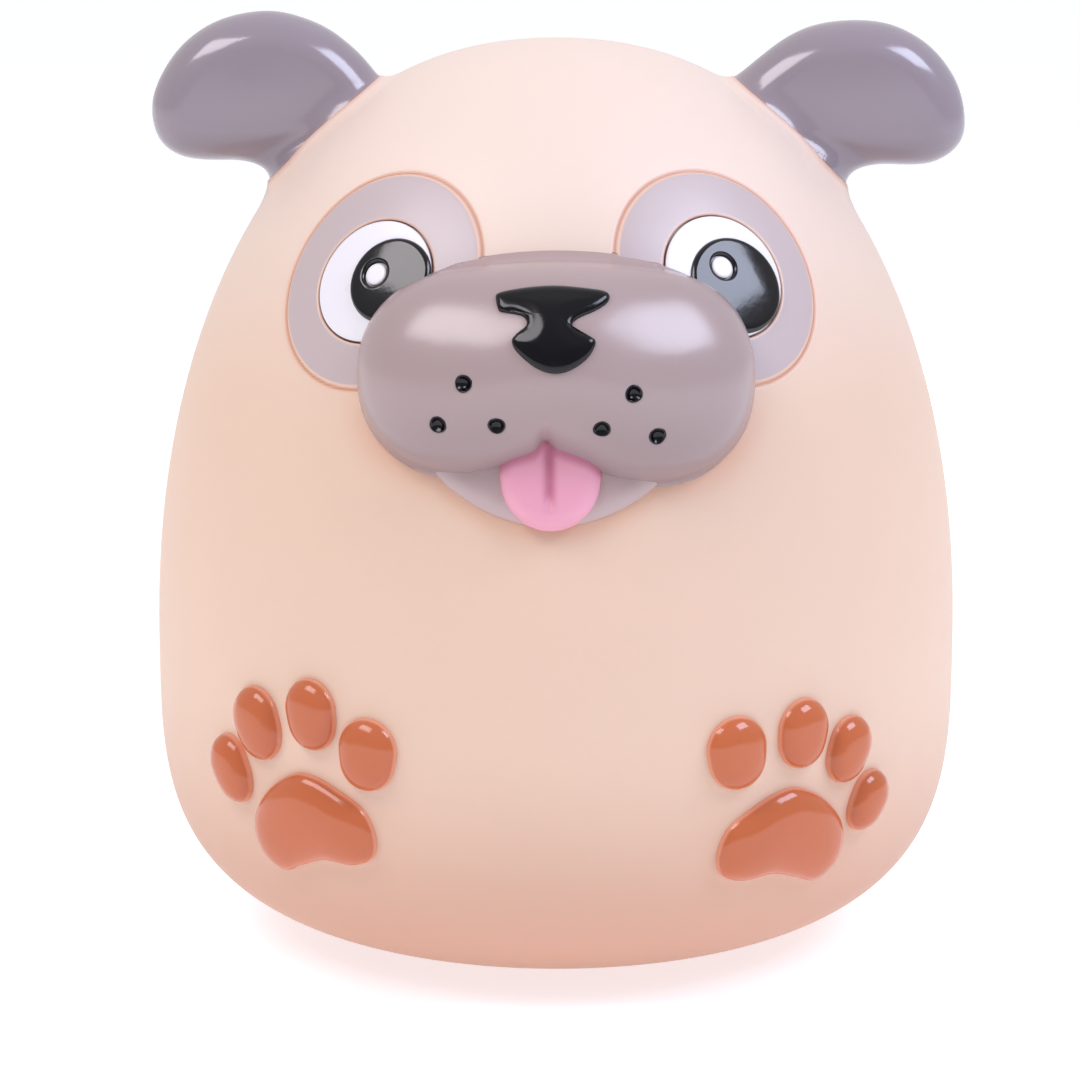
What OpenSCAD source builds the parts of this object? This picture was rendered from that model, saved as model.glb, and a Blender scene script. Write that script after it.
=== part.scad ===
// Coin bank in the shape of a sitting pug: a hollow moulded body with a coin slot
// in the back of the head and a pull-out stopper in the base.
// Millimetres. +Z is up, the face looks along -Y, the origin is the middle of the foot.
// "left" and "right" are as seen by someone facing the animal: left is -X.

/* [Body] */
// Largest radius of the body
body_radius = 70; // [55:0.5:85]
// Height of the crown above the table
body_height = 155.8; // [120:0.1:190]
// Height of the widest level
waist_height = 52.3; // [40:0.1:65]
// Wall of the hollow body
wall = 3; // [2:0.1:4]
// Radius of the recess in the foot that hides the stopper
recess_radius = 23; // [22:0.5:26]

/* [Coin slot] */
// Length of the slot, side to side
slot_length = 40; // [30:0.5:45]
// Width of the slot
slot_width = 5; // [4.2:0.1:6]
// Distance of the slot behind the crown
slot_back = 28; // [24:0.5:36]

/* [Stopper] */
// Radius of the hole in the base
bore_radius = 17; // [14:0.5:18]
// Clearance all round the stopper
stopper_play = 0.05; // [0.02:0.01:0.1]
// Height of the stopper above its flange
stopper_height = 9; // [6:0.5:14]

/* [Ears] */
// Thickness of an ear compared with its height
ear_flatness = 0.62; // [0.4:0.02:0.9]
// Radius of the neck pushed through the body wall
ear_neck = 6; // [4:0.5:7]

/* [Face] */
// Radius of the eye patches
patch_radius = 18.5; // [14:0.1:20]
// Radius of the eye whites
white_radius = 10.5; // [8:0.1:13]
// Radius of each cheek of the muzzle
cheek_radius = 16.9; // [13:0.1:19]
// Distance of each cheek from the middle
cheek_side = 15.2; // [12:0.1:17]
// Height of the cheeks above the table
cheek_height = 106.1; // [98:0.1:112]
// Distance of the cheeks in front of the axis
cheek_front = 60; // [56:0.5:64]
// Thickness of the bridge of the muzzle, as a radius
bridge_radius = 15.3; // [12:0.1:17]
// Radius of the whisker spots
whisker_radius = 1.3; // [0.8:0.1:2]

/* [Paws] */
// How far the paw pads stand off the body
pad_height = 1.8; // [0.8:0.1:3]

/* [Hidden] */
$fn = 96;
// Gap left round every glued-in piece
gap = 0.08;
// The rounded base would reach this far below the table if it were not cut flat
foot_dip = 1.08;
// Steps along each half of the body curve
steps = 18;
// Roundness of the upper half (across, up) and of the lower half (across, down)
round_up = [2.256, 2.115];
round_low = [3.24, 3.47];
// Angle at which the lower curve meets the table
foot_angle = asin(pow(waist_height / (waist_height + foot_dip), round_low[1] / 2));
foot_plate = 4;
// Eyes: azimuth from straight ahead, height
eye_left_at = [-33.3, 119.8];
eye_right_at = [30.3, 120.5];
// Pupils: azimuth, height, radius
pupil_left_at = [-29.5, 119.8, 7.3];
pupil_right_at = [31.2, 119.0, 8.2];
// Highlights of the eyes: azimuth, height
glint_left_at = [-32, 120.7];
glint_right_at = [29.2, 121.9];
// Main paw pads: azimuth, height, lean
pad_left_at = [-35.3, 31, 0];
pad_right_at = [32.6, 28.9, 4];
// Toes from the outside of the left paw across to the outside of the right paw:
// azimuth, height, length, width, lean
toe_left = [[-50.2, 37.9, 12.4, 8.8, 30], [-44.4, 46.9, 13.0, 9.8, 24],
            [-34.7, 50.1, 12.3, 9.2, 8], [-26.0, 44.7, 12.3, 9.6, -4]];
toe_right = [[24.5, 45.2, 12.5, 9.8, 5], [34.7, 47.0, 12.0, 9.2, -8],
             [42.9, 42.8, 11.9, 8.8, -24], [47.5, 33.1, 11.0, 8.2, -30]];
// Ear roots: distance from the axis, height, angle of the neck from upright
ear_root = [40.2, 140.5, 46];
// Whisker spots: across, front of the spot, height
whisker_left = [[-14.9, 76.8, 107.4], [-19, 75.5, 100.7], [-9.6, 75.4, 100.4]];
whisker_right = [[12, 76.6, 105.8], [6.9, 74.1, 99.8], [15.7, 75.3, 99.2]];
// The bridge of the muzzle is an arc through both cheeks and a little higher between them
bridge_rise = 4;
bridge_arc = (pow(cheek_side, 2) + pow(bridge_rise, 2)) / (2 * bridge_rise);
bridge_angle = asin(cheek_side / bridge_arc);
// Muzzle pegs: across, height
peg_at = [[-12, 106], [12, 106]];
peg_radius = 4;

c_body = [0.93, 0.80, 0.72];
c_grey = [0.64, 0.58, 0.61];
c_patch = [0.77, 0.70, 0.71];
c_black = [0.09, 0.08, 0.10];
c_white = [0.95, 0.94, 0.95];
c_pink = [0.88, 0.61, 0.70];
c_pad = [0.74, 0.42, 0.30];
c_plug = [0.83, 0.79, 0.74];

// ---- the body curve -------------------------------------------------------------------

// Point of the upper half at angle t, moved out by off
function upper(t, off) = [
  (body_radius + off) * pow(cos(t), 2 / round_up[0]),
  waist_height + (body_height - waist_height + off) * pow(sin(t), 2 / round_up[1])
];

// Point of the lower half at angle t, moved out by off
function lower(t, off) = [
  (body_radius + off) * pow(cos(t), 2 / round_low[0]),
  waist_height - (waist_height + foot_dip + off) * pow(sin(t), 2 / round_low[1])
];

// Radius of the body at a height, and the angle its surface leans back there
function up_sin(z) = pow((z - waist_height) / (body_height - waist_height), round_up[1] / 2);
function low_sin(z) = pow((waist_height - z) / (waist_height + foot_dip), round_low[1] / 2);
function skin(z) = body_radius * (z >= waist_height
  ? pow(1 - pow(up_sin(z), 2), 1 / round_up[0])
  : pow(1 - pow(low_sin(z), 2), 1 / round_low[0]));
function lean(z) = atan((skin(z - 0.5) - skin(z + 0.5)) / 1);

function body_points(off) = concat(
  [for (i = [0 : steps]) lower(foot_angle * (1 - i / steps), off)],
  [for (i = [1 : steps]) upper(90 * i / steps, off)]
);

// The whole outside of the body, filled, moved out by off
module body_solid(off = 0) {
  rotate_extrude()
    polygon(concat([[0, lower(foot_angle, off)[1]]], body_points(off)));
}

// A layer that follows the body from inner to outer
module skin_layer(inner, outer) {
  difference() {
    body_solid(outer);
    body_solid(inner);
  }
}

// Places children on the skin: +Z out of the body, +Y up, +X to the viewer's right
module on_skin(azimuth, height) {
  rotate([0, 0, azimuth])
    translate([0, -skin(height), height])
      rotate([90 - lean(height), 0, 0])
        children();
}

module disc_on_skin(at, radius) {
  on_skin(at[0], at[1])
    translate([0, 0, -12])
      cylinder(r = radius, h = 24);
}

// ---- body and stopper -----------------------------------------------------------------

module body_shell() {
  inner_low = [for (i = [0 : steps]) lower(foot_angle * i / steps, -wall)];
  inner = [for (p = inner_low) if (p[1] > wall) p];
  inner_up = [for (i = [0 : steps - 1]) upper(90 * (1 - i / steps), -wall)];
  color(c_body)
    difference() {
      rotate_extrude()
        polygon(concat(
          [[recess_radius, 0]],
          body_points(0),
          inner_up,
          inner,
          [[recess_radius + 5, wall], [recess_radius + 3, foot_plate + wall]],
          [[bore_radius, foot_plate + wall], [bore_radius, foot_plate]],
          [[recess_radius - 1, foot_plate]]
        ));
      translate([0, slot_back, body_height - 5])
        cube([slot_length, slot_width, 30], center = true);
      for (side = [-1, 1])
        ear_frame(side)
          translate([0, 0, -12])
            cylinder(r = ear_neck + gap, h = 24);
      for (p = peg_at)
        translate([p[0], -cheek_front + 12, p[1]])
          rotate([90, 0, 0])
            cylinder(r = peg_radius + gap, h = 16);
      eye_pocket(eye_left_at);
      eye_pocket(eye_right_at);
    }
}

module eye_pocket(at) {
  intersection() {
    disc_on_skin(at, patch_radius + gap);
    skin_layer(-1.2, 4);
  }
}

module stopper() {
  flange_low = 1.7;
  flange_top = 3.7;
  shank = bore_radius - stopper_play;
  color(c_plug)
    union() {
      difference() {
        union() {
          translate([0, 0, flange_low])
            cylinder(r = recess_radius - 2, h = flange_top - flange_low);
          translate([0, 0, flange_low])
            cylinder(r = shank, h = stopper_height + 2);
        }
        translate([0, 0, -1])
          cylinder(r = shank - 2, h = stopper_height + 1.5);
      }
      // Bar across the cup, to pull it out by
      translate([-shank + 1, -1.5, flange_low + 0.3])
        cube([2 * shank - 2, 3, 5]);
    }
}

// ---- ears -----------------------------------------------------------------------------

// Places children at an ear root, +Z out of the body
module ear_frame(side) {
  translate([side * ear_root[0], 0, ear_root[1]])
    rotate([0, side * ear_root[2], 0])
      children();
}

// Round flap of an ear, drawn for the right-hand side
module ear_flap() {
  scale([1, ear_flatness, 1])
    hull() {
      translate([64.9, 0, 141.3])
        sphere(r = 6, $fn = 32);
      translate([56.4, 0, 146.8])
        sphere(r = 12, $fn = 36);
      translate([48.6, 0, 147.8])
        sphere(r = 12.9, $fn = 36);
      translate([37.5, 0, 143.6])
        sphere(r = 10.4, $fn = 32);
    }
}

module ear_fixing(side) {
  ear_frame(side) {
    // Neck through the wall
    translate([0, 0, -wall - 2.2])
      cylinder(r = ear_neck, h = wall + 8);
    // Barb inside the body
    translate([0, 0, -wall - 4.2])
      cylinder(r = ear_neck + 2, h = 2);
  }
}

module ear(side) {
  color(c_grey)
    union() {
      difference() {
        mirror([side < 0 ? 1 : 0, 0, 0])
          ear_flap();
        body_solid(gap);
      }
      ear_fixing(side);
    }
}

module ear_left() {
  ear(-1);
}

module ear_right() {
  ear(1);
}

// ---- muzzle, nose, mouth --------------------------------------------------------------

// Two round cheeks joined by an arched bridge, moved out by off
module muzzle_solid(off = 0) {
  union() {
    for (side = [-1, 1])
      translate([side * cheek_side, -cheek_front, cheek_height])
        sphere(r = cheek_radius + off);
    translate([0, -cheek_front, cheek_height + bridge_rise - bridge_arc])
      rotate([90, 0, 0])
        rotate([0, 0, 90 - bridge_angle])
          rotate_extrude(angle = 2 * bridge_angle)
            translate([bridge_arc, 0])
              circle(r = bridge_radius + off);
  }
}

module muzzle() {
  color(c_grey)
    union() {
      difference() {
        muzzle_solid();
        body_solid(gap);
        nose_block(gap, 2);
        for (p = concat(whisker_left, whisker_right))
          whisker_pin(p, whisker_radius + gap, 3, 8);
      }
      for (p = peg_at)
        translate([p[0], -cheek_front + 6, p[1]])
          rotate([90, 0, 0])
            cylinder(r = peg_radius, h = 10);
    }
}

// A round pin lying along Y, its back end depth behind the surface
module whisker_pin(at, radius, depth, length) {
  translate([at[0], -at[1] + depth, at[2]])
    rotate([90, 0, 0])
      cylinder(r = radius, h = length, $fn = 32);
}

module whisker_spots_left() {
  color(c_black)
    for (p = whisker_left)
      whisker_pin(p, whisker_radius, 3 - gap, 2.6);
}

module whisker_spots_right() {
  color(c_black)
    for (p = whisker_right)
      whisker_pin(p, whisker_radius, 3 - gap, 2.6);
}

// Outline of the nose in X and Z: two wings over a rounded tip
module nose_outline(grow) {
  hull()
    for (side = [-1, 1])
      translate([side * 7.2 - 0.9, 119.6])
        circle(r = 1.9 + grow, $fn = 32);
  hull() {
    translate([-0.9, 117.5])
      circle(r = 3.8 + grow, $fn = 32);
    translate([-0.9, 115])
      circle(r = 3.6 + grow, $fn = 32);
  }
  hull() {
    for (side = [-1, 1])
      translate([side * 4.6 - 0.9, 113.3])
        circle(r = 2 + grow, $fn = 32);
    translate([-0.9, 111.7])
      circle(r = 3 + grow, $fn = 32);
  }
}

// The nose run straight through along Y, starting depth behind the bridge front
module nose_block(grow, depth) {
  translate([0, -cheek_front - bridge_radius + 4.5 + depth, 0])
    rotate([90, 0, 0])
      linear_extrude(height = 16)
        nose_outline(grow);
}

module nose() {
  color(c_black)
    intersection() {
      nose_block(0, 1.9);
      muzzle_solid(0.9);
    }
}

// Grey chin under the muzzle, a thin layer on the body
module lower_lip() {
  color(c_grey)
    difference() {
      intersection() {
        skin_layer(gap, 1.5);
        translate([-1, -50, 109])
          rotate([90, 0, 0])
            cylinder(r = 26.1, h = 30);
        translate([-30, -85, 80])
          cube([60, 40, 20]);
      }
      muzzle_solid(gap);
    }
}

module tongue() {
  color(c_pink)
    difference() {
      intersection() {
        skin_layer(1.5 + gap, 4.8);
        translate([-1.1, -50, 0])
          rotate([90, 0, 0])
            linear_extrude(height = 30) {
              translate([0, 90.2])
                circle(r = 7.7);
              translate([-7.7, 90.2])
                square([15.4, 8]);
            }
      }
      muzzle_solid(gap);
      // Groove down the middle
      translate([-1.3, -skin(88) - 5.4, 87])
        rotate([-8, 0, 0])
          cylinder(r = 0.9, h = 12);
    }
}

// ---- eyes -----------------------------------------------------------------------------

module eye_patch(at) {
  color(c_patch)
    difference() {
      intersection() {
        disc_on_skin(at, patch_radius);
        skin_layer(-1.2 + gap, 0.6);
      }
      intersection() {
        disc_on_skin(at, white_radius + gap);
        skin_layer(-0.3, 4);
      }
      muzzle_solid(gap);
    }
}

module eye_white(at, pupil_at) {
  color(c_white)
    difference() {
      intersection() {
        disc_on_skin(at, white_radius);
        skin_layer(-0.3 + gap, 0.9);
      }
      intersection() {
        disc_on_skin(pupil_at, pupil_at[2] + gap);
        skin_layer(0.3, 4);
      }
      muzzle_solid(gap);
    }
}

module pupil(at, pupil_at, glint_at) {
  color(c_black)
    difference() {
      intersection() {
        disc_on_skin(pupil_at, pupil_at[2]);
        disc_on_skin(at, white_radius - 0.3);
        skin_layer(0.3 + gap, 1.4);
      }
      intersection() {
        disc_on_skin(glint_at, 2 + gap);
        skin_layer(0.7, 4);
      }
      muzzle_solid(gap);
    }
}

module eye_glint(at) {
  color(c_white)
    intersection() {
      disc_on_skin(at, 2);
      skin_layer(0.7 + gap, 1.5);
    }
}

module eye_patch_left() {
  eye_patch(eye_left_at);
}

module eye_patch_right() {
  eye_patch(eye_right_at);
}

module eye_white_left() {
  eye_white(eye_left_at, pupil_left_at);
}

module eye_white_right() {
  eye_white(eye_right_at, pupil_right_at);
}

module pupil_left() {
  pupil(eye_left_at, pupil_left_at, glint_left_at);
}

module pupil_right() {
  pupil(eye_right_at, pupil_right_at, glint_right_at);
}

module eye_glint_left() {
  eye_glint(glint_left_at);
}

module eye_glint_right() {
  eye_glint(glint_right_at);
}

// ---- paws -----------------------------------------------------------------------------

// One toe: an upright oval that leans over by its last value
module toe(at) {
  radius = at[3] / 2;
  half = at[2] / 2 - radius;
  color(c_pad)
    intersection() {
      on_skin(at[0], at[1])
        rotate([0, 0, at[4]])
          translate([0, 0, -8])
            linear_extrude(height = 16) {
              for (end = [-1, 1])
                translate([0, end * half])
                  circle(r = radius, $fn = 48);
              translate([-radius, -half])
                square([2 * radius, 2 * half]);
            }
      skin_layer(gap, pad_height);
    }
}

// Main pad: a domed top over one large and one small lobe
module main_pad(at, side) {
  color(c_pad)
    intersection() {
      on_skin(at[0], at[1])
        rotate([0, 0, -at[2]])
          translate([0, 0, -8])
            linear_extrude(height = 16)
              mirror([side > 0 ? 1 : 0, 0])
                difference() {
                  hull() {
                    translate([-7.6, -4.2])
                      circle(r = 4.9, $fn = 32);
                    translate([8, -0.9])
                      circle(r = 4.7, $fn = 32);
                    translate([-0.3, 1.6])
                      circle(r = 7.4, $fn = 48);
                  }
                  translate([3.2, -13.5])
                    circle(r = 8, $fn = 48);
                }
      skin_layer(gap, pad_height);
    }
}

module paw_left_pad() {
  main_pad(pad_left_at, -1);
}

module paw_left_toe_1() {
  toe(toe_left[0]);
}

module paw_left_toe_2() {
  toe(toe_left[1]);
}

module paw_left_toe_3() {
  toe(toe_left[2]);
}

module paw_left_toe_4() {
  toe(toe_left[3]);
}

module paw_right_pad() {
  main_pad(pad_right_at, 1);
}

module paw_right_toe_1() {
  toe(toe_right[0]);
}

module paw_right_toe_2() {
  toe(toe_right[1]);
}

module paw_right_toe_3() {
  toe(toe_right[2]);
}

module paw_right_toe_4() {
  toe(toe_right[3]);
}

// ---- what is drawn --------------------------------------------------------------------

body_shell();
stopper();
ear_left();
ear_right();
muzzle();
lower_lip();
nose();
tongue();
whisker_spots_left();
whisker_spots_right();
eye_patch_left();
eye_patch_right();
eye_white_left();
eye_white_right();
pupil_left();
pupil_right();
eye_glint_left();
eye_glint_right();
paw_left_pad();
paw_left_toe_1();
paw_left_toe_2();
paw_left_toe_3();
paw_left_toe_4();
paw_right_pad();
paw_right_toe_1();
paw_right_toe_2();
paw_right_toe_3();
paw_right_toe_4();
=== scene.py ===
"""A squat round pug coin bank in soft vinyl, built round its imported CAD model.

Lengths are worked out in millimetres and written to the meshes in metres.
+Z is up, the face looks along -Y, "left" is -X.
"""
import math

import bpy
import numpy as np
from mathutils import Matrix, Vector


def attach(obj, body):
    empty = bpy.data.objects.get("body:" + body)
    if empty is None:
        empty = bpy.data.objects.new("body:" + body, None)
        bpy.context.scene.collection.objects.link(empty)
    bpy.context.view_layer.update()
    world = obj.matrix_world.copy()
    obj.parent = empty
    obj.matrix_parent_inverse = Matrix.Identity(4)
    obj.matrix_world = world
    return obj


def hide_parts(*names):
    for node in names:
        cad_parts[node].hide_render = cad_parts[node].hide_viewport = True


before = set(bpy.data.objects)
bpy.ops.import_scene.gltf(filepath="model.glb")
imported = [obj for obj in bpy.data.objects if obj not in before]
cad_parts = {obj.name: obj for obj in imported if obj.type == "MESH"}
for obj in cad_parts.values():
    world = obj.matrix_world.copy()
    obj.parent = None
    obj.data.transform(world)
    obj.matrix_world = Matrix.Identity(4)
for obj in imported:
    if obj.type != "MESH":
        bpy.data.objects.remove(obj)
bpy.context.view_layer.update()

MM = 0.001
TAU = 2 * math.pi
WALL = 3.0
AXES = np.eye(3)
# Underside: radius of the bore for the stopper, depth of the recess round it, height of the
# seat's top and of the floor inside
BORE, RECESS, SEAT_TOP, FLOOR_TOP = 17.05, 4.0, 7.0, 3.1

# ---- the body's curve -----------------------------------------------------------------

# Widest radius, full height, height of the widest place, and how far the curve's lower
# end is cut off by the flat foot
RADIUS, HEIGHT, WAIST, DIP = 69.93, 155.75, 52.3, 1.08
# Powers of the two half curves: (of the radius, of the height)
UP = (2.256, 2.115)
LOW = (3.24, 3.47)


def radius_at(z, grow=0.0):
    """Radius of the body at height z, its surface moved out by grow."""
    z = np.asarray(z, float)
    top = HEIGHT - WAIST + grow
    foot = WAIST + DIP + grow
    high = np.clip((z - WAIST) / top, 0, 1) ** (UP[1] / 2)
    low = np.clip((WAIST - z) / foot, 0, 1) ** (LOW[1] / 2)
    r_high = np.clip(1 - high ** 2, 0, 1) ** (1 / UP[0])
    r_low = np.clip(1 - low ** 2, 0, 1) ** (1 / LOW[0])
    return (RADIUS + grow) * np.where(z >= WAIST, r_high, r_low)


def body_field(p):
    """Signed distance from the body, near its surface: negative inside."""
    z = np.clip(p[..., 2], -4, HEIGHT - 0.02)
    r = radius_at(z)
    slope = (radius_at(z + 0.2) - radius_at(np.clip(z - 0.2, -4, None))) / 0.4
    flat = np.hypot(p[..., 0], p[..., 1])
    over = np.clip(p[..., 2] - HEIGHT, 0, None)
    return (flat - r) / np.sqrt(1 + np.clip(slope, -6, 6) ** 2) + over


def body_normal(p):
    """Outward unit normal of the body's surface near p."""
    z = np.clip(p[..., 2], 0.3, HEIGHT - 0.3)
    slope = np.clip((radius_at(z + 0.2) - radius_at(z - 0.2)) / 0.4, -60, 60)
    flat = np.maximum(np.hypot(p[..., 0], p[..., 1]), 1e-6)
    n = np.stack([p[..., 0] / flat, p[..., 1] / flat, -slope], -1)
    return n / np.linalg.norm(n, axis=-1, keepdims=True)


def smooth_min(a, b, k):
    """The smaller of two fields, blended over a width k."""
    h = np.clip(k - np.abs(a - b), 0, None) / k
    return np.minimum(a, b) - h * h * k / 4


def smooth_step(x, a, b):
    t = np.clip((x - a) / (b - a), 0, 1)
    return t * t * (3 - 2 * t)


# ---- mesh helpers ---------------------------------------------------------------------

def make_mesh(name, verts, faces, attrs=None, smooth=True):
    mesh = bpy.data.meshes.new(name)
    mesh.from_pydata((np.asarray(verts) * MM).tolist(), [], faces)
    mesh.validate()
    if attrs:
        for key, values in attrs.items():
            layer = mesh.attributes.new(key, "FLOAT", "POINT")
            layer.data.foreach_set("value", np.asarray(values, np.float32))
    mesh.polygons.foreach_set("use_smooth", [smooth] * len(mesh.polygons))
    piece = bpy.data.objects.new(name, mesh)
    bpy.context.scene.collection.objects.link(piece)
    return piece


def grid_faces(rows, cols, wrap=True, start=0):
    """Quads of a rows x cols grid, columns joined round when wrap is set."""
    i = np.arange(rows - 1)[:, None]
    j = np.arange(cols if wrap else cols - 1)[None, :]
    k = (j + 1) % cols
    a = start + i * cols + j
    b = start + i * cols + k
    c = start + (i + 1) * cols + k
    d = start + (i + 1) * cols + j
    return np.stack([a, b, c, d], -1).reshape(-1, 4).tolist()


def rounded_profile(points, segments=5):
    """Polyline (r, z, fillet) with each corner rounded to its own fillet radius."""
    out = []
    n = len(points)
    for i, (r, z, f) in enumerate(points):
        p = np.array([r, z], float)
        if f <= 0 or i == 0 or i == n - 1:
            out.append(p)
            continue
        a = np.array(points[i - 1][:2], float) - p
        b = np.array(points[i + 1][:2], float) - p
        la, lb = np.linalg.norm(a), np.linalg.norm(b)
        cut = min(f, 0.45 * la, 0.45 * lb)
        s, e = p + a / la * cut, p + b / lb * cut
        for t in np.linspace(0, 1, segments + 1):
            out.append((1 - t) ** 2 * s + 2 * t * (1 - t) * p + t ** 2 * e)
    return np.array(out)


def fan(tip, start, cols):
    """Triangles from one point to a ring of points that begins at start."""
    return [(tip, start + j, start + (j + 1) % cols) for j in range(cols)]


def band(above, below, cols):
    """Quads that join the ring that begins at above to the one that begins at below."""
    return [(above + j, above + (j + 1) % cols, below + (j + 1) % cols, below + j)
            for j in range(cols)]


def lathe(profile, cols=96):
    """Turns a profile that starts and ends on the axis round Z."""
    prof = np.asarray(profile, float)
    ang = np.arange(cols) / cols * TAU
    verts = [(r * math.cos(t), r * math.sin(t), z) for r, z in prof[1:-1] for t in ang]
    verts += [(0, 0, prof[0][1]), (0, 0, prof[-1][1])]
    rows = len(prof) - 2
    first, last = rows * cols, rows * cols + 1
    faces = grid_faces(rows, cols)
    faces += [f[::-1] for f in fan(first, 0, cols)] + fan(last, (rows - 1) * cols, cols)
    return verts, faces


def cube_sphere(n):
    """Unit directions and quads of a cube blown up to a sphere, with shared edges."""
    t = np.tan(np.linspace(-1, 1, n + 1) * math.pi / 4)
    index, dirs, faces = {}, [], []
    for axis in range(3):
        for sign in (-1, 1):
            ids = np.zeros((n + 1, n + 1), int)
            for i in range(n + 1):
                for j in range(n + 1):
                    p = [0.0, 0.0, 0.0]
                    p[axis] = float(sign)
                    p[(axis + 1) % 3] = t[i]
                    p[(axis + 2) % 3] = t[j]
                    key = tuple(round(c, 7) for c in p)
                    if key not in index:
                        index[key] = len(dirs)
                        dirs.append(p)
                    ids[i, j] = index[key]
            for i in range(n):
                for j in range(n):
                    q = [ids[i, j], ids[i + 1, j], ids[i + 1, j + 1], ids[i, j + 1]]
                    faces.append(q if sign > 0 else q[::-1])
    d = np.array(dirs)
    return d / np.linalg.norm(d, axis=1, keepdims=True), faces


def cast_from(centre, dirs, field, reach=60.0, steps=50):
    """Distance along each direction at which a field turns positive."""
    near = np.zeros(len(dirs))
    found = np.zeros(len(dirs), bool)
    far = np.full(len(dirs), reach)
    for s in np.linspace(0, reach, steps + 1)[1:]:
        value = field(centre + dirs * s)
        hit = (value > 0) & ~found
        far[hit] = s
        found |= hit
        near[~found] = s
    for _ in range(14):
        mid = (near + far) / 2
        out = field(centre + dirs * mid[:, None]) > 0
        far = np.where(out, mid, far)
        near = np.where(out, near, mid)
    return (near + far) / 2


def gradient(field, p, e=0.08):
    return np.stack([field(p + d) - field(p - d) for d in AXES * e], -1) / (2 * e)


def relax(p, faces, field, rounds=12):
    """Evens out a mesh along its surface, keeping every point on the field's zero."""
    f = np.array(faces)
    pairs = np.concatenate([f[:, [0, 1]], f[:, [1, 2]], f[:, [2, 3]], f[:, [3, 0]]])
    pairs = np.unique(np.sort(pairs, axis=1), axis=0)
    a, b = pairs.T
    count = np.bincount(a, minlength=len(p)) + np.bincount(b, minlength=len(p))
    for _ in range(rounds):
        mean = np.stack([np.bincount(a, p[b, k], len(p)) + np.bincount(b, p[a, k], len(p))
                         for k in range(3)], 1)
        p = p + 0.6 * (mean / count[:, None] - p)
        g = gradient(field, p)
        p = p - g * (field(p) / np.maximum((g * g).sum(1), 0.2))[:, None]
    return p


# ---- flat outlines, in millimetres on the skin ----------------------------------------

def circle(cu, cv, r):
    return lambda u, v: np.hypot(u - cu, v - cv) - r


def capsule(au, av, bu, bv, ra, rb=None):
    """Round-ended bar from a to b, its radius going from ra to rb."""
    rb = ra if rb is None else rb

    def field(u, v):
        du, dv = bu - au, bv - av
        t = np.clip(((u - au) * du + (v - av) * dv) / (du * du + dv * dv), 0, 1)
        return np.hypot(u - au - t * du, v - av - t * dv) - (ra + (rb - ra) * t)
    return field


def joined(k, *shapes):
    """Several outlines as one, blended over a width k."""
    def field(u, v):
        d = shapes[0](u, v)
        for s in shapes[1:]:
            d = smooth_min(d, s(u, v), k)
        return d
    return field


def cut(k, shape, tool):
    """An outline with a second one taken away."""
    return lambda u, v: -smooth_min(-shape(u, v), tool(u, v), k)


def outline(points, per=9, margin=7.0):
    """Closed smooth curve through a few points, as a signed distance: negative inside."""
    pts = np.array(points, float)
    s = np.arange(per)[:, None] / per
    line = []
    for i in range(len(pts)):
        a, b, c, d = (pts[(i + k) % len(pts)] for k in (-1, 0, 1, 2))
        line.append(0.5 * (2 * b + (c - a) * s + (2 * a - 5 * b + 4 * c - d) * s ** 2
                           + (3 * b - a - 3 * c + d) * s ** 3))
    line = np.concatenate(line)
    low, high = line.min(0) - margin, line.max(0) + margin

    def field(u, v):
        q = np.stack([np.ravel(u), np.ravel(v)], 1).astype(float)
        out = np.full(len(q), float(margin))
        near = np.all((q > low) & (q < high), axis=1)
        x, y = q[near].T
        best = np.full(len(x), 1e9)
        inside = np.zeros(len(x), bool)
        for (ax, ay), (bx, by) in zip(line, np.roll(line, -1, axis=0)):
            ex, ey = bx - ax, by - ay
            k = np.clip(((x - ax) * ex + (y - ay) * ey) / (ex * ex + ey * ey), 0, 1)
            best = np.minimum(best, (x - ax - k * ex) ** 2 + (y - ay - k * ey) ** 2)
            if ay != by:
                inside ^= ((ay <= y) != (by <= y)) & (x < ex * (y - ay) / ey + ax)
        out[near] = np.minimum(np.where(inside, -1, 1) * np.sqrt(best), margin)
        return out.reshape(np.shape(u))
    return field


def sampled(shape, x0, x1, y0, y1, step=0.2):
    """The same outline read off a fine grid, for shapes that are asked very often."""
    xs = np.arange(x0, x1 + step, step)
    ys = np.arange(y0, y1 + step, step)
    grid = shape(*np.meshgrid(xs, ys, indexing="ij"))

    def field(u, v):
        fu = np.clip((u - x0) / step, 0, len(xs) - 1.001)
        fv = np.clip((v - y0) / step, 0, len(ys) - 1.001)
        i, j = fu.astype(int), fv.astype(int)
        a, b = fu - i, fv - j
        return (grid[i, j] * (1 - a) * (1 - b) + grid[i + 1, j] * a * (1 - b)
                + grid[i, j + 1] * (1 - a) * b + grid[i + 1, j + 1] * a * b)
    return field


def turned(angle, shape):
    """Turns an outline anticlockwise by an angle in degrees."""
    c, s = math.cos(math.radians(angle)), math.sin(math.radians(angle))
    return lambda u, v: shape(u * c + v * s, -u * s + v * c)


def flipped(shape):
    return lambda u, v: shape(-u, v)


def edge_radius(shape, cu, cv, angles, reach=40.0):
    """Distance from (cu, cv) to the outline along each angle."""
    lo, hi = np.zeros(len(angles)), np.full(len(angles), np.nan)
    alive = np.ones(len(angles), bool)
    for s in np.linspace(0, reach, 400)[1:]:
        out = (shape(cu + s * np.cos(angles), cv + s * np.sin(angles)) > 0) & alive
        hi[out] = s
        alive &= ~out
        lo[alive] = s
    hi = np.where(np.isnan(hi), reach, hi)
    for _ in range(26):
        mid = (lo + hi) / 2
        out = shape(cu + mid * np.cos(angles), cv + mid * np.sin(angles)) > 0
        hi = np.where(out, mid, hi)
        lo = np.where(out, lo, mid)
    return (lo + hi) / 2


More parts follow.
